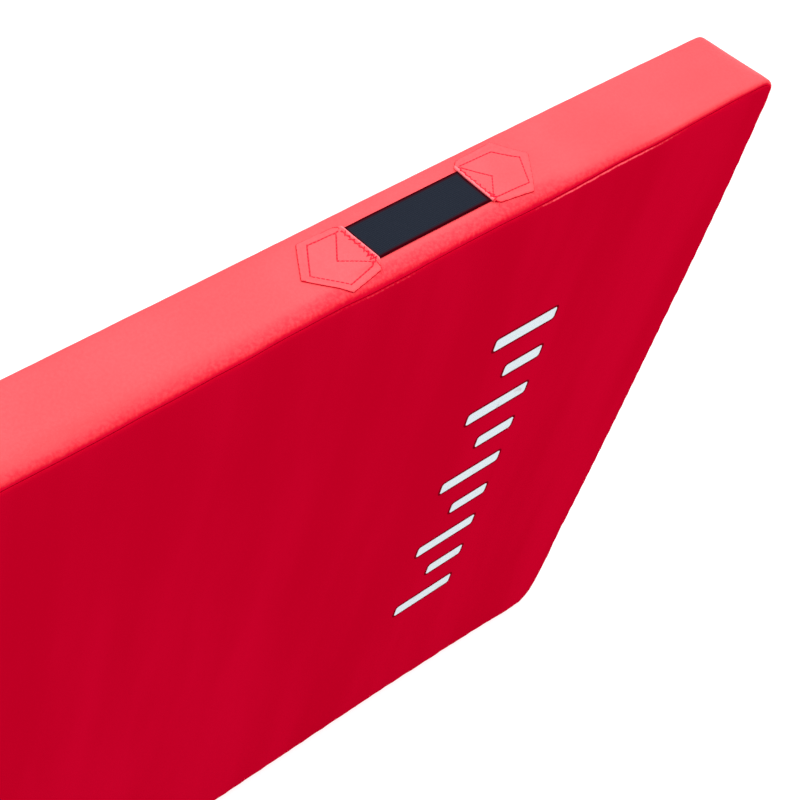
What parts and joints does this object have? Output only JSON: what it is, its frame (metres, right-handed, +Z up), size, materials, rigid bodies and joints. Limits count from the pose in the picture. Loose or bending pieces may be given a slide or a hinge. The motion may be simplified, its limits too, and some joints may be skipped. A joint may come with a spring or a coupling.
{
  "type": "gym mat",
  "caption": "Thick foam gym mat in a sewn vinyl cover, with flush webbing carrying handles under pointed patches and a zip at one end.",
  "frame": {"origin": "middle of the foot of the mat as it stands on one long edge, at the level of the lower handles' patches", "axes": "+X along the mat's length towards the end without the zip, +Y through its thickness from the printed face to the back, +Z up across its width"},
  "size_m": [2.0058, 0.1, 1.005],
  "materials": {
    "foam": "matte",
    "panel_vinyl": "satin",
    "border_vinyl": "satin",
    "patch_vinyl": "satin",
    "print_white": "satin",
    "webbing": "matte",
    "stitching": "matte",
    "seam_thread": "matte",
    "zip_tape": "matte",
    "zip_teeth": "satin",
    "zip_metal": "satin"
  },
  "bodies": {
    "mat": {"foam_core": "foam", "face_panel": "panel_vinyl", "back_panel": "panel_vinyl", "face_marking": "print_white", "top_border": "border_vinyl", "bottom_border": "border_vinyl", "right_end_border": "border_vinyl", "left_end_border_front": "border_vinyl", "left_end_border_back": "border_vinyl", "front_seam_thread": "seam_thread", "back_seam_thread": "seam_thread", "zip_tape_front": "zip_tape", "zip_tape_back": "zip_tape", "zip_teeth_front": "zip_teeth", "zip_teeth_back": "zip_teeth", "zip_top_stops": "zip_metal", "zip_bottom_stop": "zip_metal", "top_left_strap_left": "webbing", "top_left_strap_right": "webbing", "top_left_patch_left": "patch_vinyl", "top_left_patch_right": "patch_vinyl", "top_left_stitching_left": "stitching", "top_left_stitching_right": "stitching", "top_right_strap_left": "webbing", "top_right_strap_right": "webbing", "top_right_patch_left": "patch_vinyl", "top_right_patch_right": "patch_vinyl", "top_right_stitching_left": "stitching", "top_right_stitching_right": "stitching", "bottom_left_strap_left": "webbing", "bottom_left_strap_right": "webbing", "bottom_left_patch_left": "patch_vinyl", "bottom_left_patch_right": "patch_vinyl", "bottom_left_stitching_left": "stitching", "bottom_left_stitching_right": "stitching", "bottom_right_strap_left": "webbing", "bottom_right_strap_right": "webbing", "bottom_right_patch_left": "patch_vinyl", "bottom_right_patch_right": "patch_vinyl", "bottom_right_stitching_left": "stitching", "bottom_right_stitching_right": "stitching"},
    "zip_slider": {"zip_slider": "zip_metal"},
    "zip_pull": {"zip_pull": "zip_metal"},
    "top_left_grip": {"top_left_grip": "webbing"},
    "top_right_grip": {"top_right_grip": "webbing"},
    "bottom_left_grip": {"bottom_left_grip": "webbing"},
    "bottom_right_grip": {"bottom_right_grip": "webbing"}
  },
  "joints": [
    {"name": "top_left_handle_lift", "type": "slide", "parent": "mat", "child": "top_left_grip", "axis": [0, 0, 1], "range_m": [0, 0.018], "stiffness_N_per_m": 60, "deforming": ["top_left_strap_left", "top_left_strap_right"]},
    {"name": "top_right_handle_lift", "type": "slide", "parent": "mat", "child": "top_right_grip", "axis": [0, 0, 1], "range_m": [0, 0.018], "stiffness_N_per_m": 60, "deforming": ["top_right_strap_left", "top_right_strap_right"]},
    {"name": "bottom_left_handle_lift", "type": "slide", "parent": "mat", "child": "bottom_left_grip", "axis": [0, 0, -1], "range_m": [0, 0.018], "stiffness_N_per_m": 60, "deforming": ["bottom_left_strap_left", "bottom_left_strap_right"]},
    {"name": "bottom_right_handle_lift", "type": "slide", "parent": "mat", "child": "bottom_right_grip", "axis": [0, 0, -1], "range_m": [0, 0.018], "stiffness_N_per_m": 60, "deforming": ["bottom_right_strap_left", "bottom_right_strap_right"]},
    {"name": "zip_slide", "type": "slide", "parent": "mat", "child": "zip_slider", "axis": [0, 0, 1], "range_m": [-0.8434, 0]},
    {"name": "zip_pull_swing", "type": "hinge", "parent": "zip_slider", "child": "zip_pull", "pos_m": [-1.00385, 0, 0.9242], "axis": [0, 1, 0], "range_deg": [0, 165]}
  ]
}
